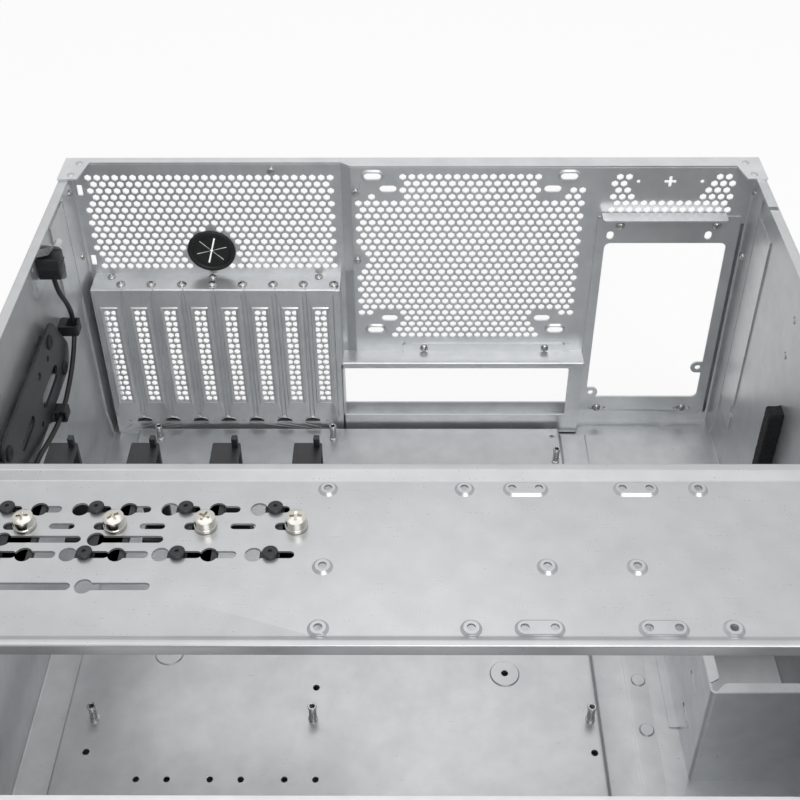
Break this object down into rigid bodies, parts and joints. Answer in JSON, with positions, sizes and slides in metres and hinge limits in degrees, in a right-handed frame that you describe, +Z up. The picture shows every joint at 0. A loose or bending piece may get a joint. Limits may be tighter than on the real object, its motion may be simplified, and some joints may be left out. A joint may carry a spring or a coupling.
{
  "type": "rackmount server case",
  "caption": "Open-topped rackmount server case in folded steel with a perforated rear wall, slot covers, motherboard tray and keyholed retainer bar with sliding card hold-downs.",
  "frame": {"origin": "middle of the bottom of the bounding box, on the surface the case stands on", "axes": "+Z up, -Y towards the front panel and its handles, +X towards the power supply side"},
  "size_m": [0.4826, 0.5099, 0.22],
  "materials": {
    "zinc_steel": "zinc-coated sheet, fine satin",
    "screw_steel": "satin",
    "bright_steel": "nickel-plated",
    "black_plastic": "moulded matte",
    "clear_plastic": "clear light guide",
    "rubber": "matte",
    "lead_sleeve": "matte sleeve",
    "foam": "closed-cell foam"
  },
  "bodies": {
    "case": {"chassis_pan": "zinc_steel", "rear_panel": "zinc_steel", "io_frame": "zinc_steel", "slot_cover_1": "zinc_steel", "slot_cover_2": "zinc_steel", "slot_cover_3": "zinc_steel", "slot_cover_4": "zinc_steel", "slot_cover_5": "zinc_steel", "slot_cover_6": "zinc_steel", "slot_cover_7": "zinc_steel", "slot_cover_8": "zinc_steel", "slot_screws": "screw_steel", "slot_shelf_screws": "screw_steel", "psu_plate": "zinc_steel", "psu_plate_screws": "screw_steel", "cable_grommet": "rubber", "rear_panel_screws": "screw_steel", "corner_rivets": "screw_steel", "motherboard_tray": "zinc_steel", "standoffs": "screw_steel", "retainer_bar": "zinc_steel", "retainer_bar_screws": "screw_steel", "switch_bracket": "zinc_steel", "switch_body": "black_plastic", "switch_lead": "lead_sleeve", "lead_plug": "black_plastic", "lead_clips": "black_plastic", "side_plate": "black_plastic", "side_plate_grommets": "rubber", "left_stiffener": "zinc_steel", "right_stiffener": "zinc_steel", "foam_block": "foam", "drive_cage": "zinc_steel", "fan_bracket": "zinc_steel", "front_panel": "zinc_steel", "left_handle": "bright_steel", "right_handle": "bright_steel", "handle_screws": "screw_steel", "button_housing": "black_plastic", "status_lights": "clear_plastic"},
    "retainer_1": {"hold_down_1": "black_plastic", "hold_down_screw_1": "bright_steel"},
    "retainer_2": {"hold_down_2": "black_plastic", "hold_down_screw_2": "bright_steel"},
    "retainer_3": {"hold_down_3": "black_plastic", "hold_down_screw_3": "bright_steel"},
    "retainer_4": {"hold_down_4": "black_plastic", "hold_down_screw_4": "bright_steel"},
    "lid_switch_lever": {"switch_lever": "bright_steel"},
    "power_button": {"power_button": "black_plastic"},
    "reset_button": {"reset_button": "black_plastic"}
  },
  "joints": [
    {"name": "hold_down_1_slide", "type": "slide", "parent": "case", "child": "retainer_1", "axis": [1, 0, 0], "range_m": [-0.0075, 0]},
    {"name": "hold_down_2_slide", "type": "slide", "parent": "case", "child": "retainer_2", "axis": [1, 0, 0], "range_m": [-0.0075, 0]},
    {"name": "hold_down_3_slide", "type": "slide", "parent": "case", "child": "retainer_3", "axis": [1, 0, 0], "range_m": [-0.0075, 0]},
    {"name": "hold_down_4_slide", "type": "slide", "parent": "case", "child": "retainer_4", "axis": [1, 0, 0], "range_m": [-0.0075, 0]},
    {"name": "switch_lever_press", "type": "hinge", "parent": "case", "child": "lid_switch_lever", "pos_m": [-0.2166, 0.1622, 0.2107], "axis": [0, 1, 0], "range_deg": [0, 12], "stiffness_Nm_per_rad": 0.03, "springref_deg": -2.86},
    {"name": "power_button_press", "type": "slide", "parent": "case", "child": "power_button", "axis": [0, 1, 0], "range_m": [0, 0.0015], "stiffness_N_per_m": 500, "springref_m": -0.0005},
    {"name": "reset_button_press", "type": "slide", "parent": "case", "child": "reset_button", "axis": [0, 1, 0], "range_m": [0, 0.0015], "stiffness_N_per_m": 500, "springref_m": -0.0005}
  ]
}
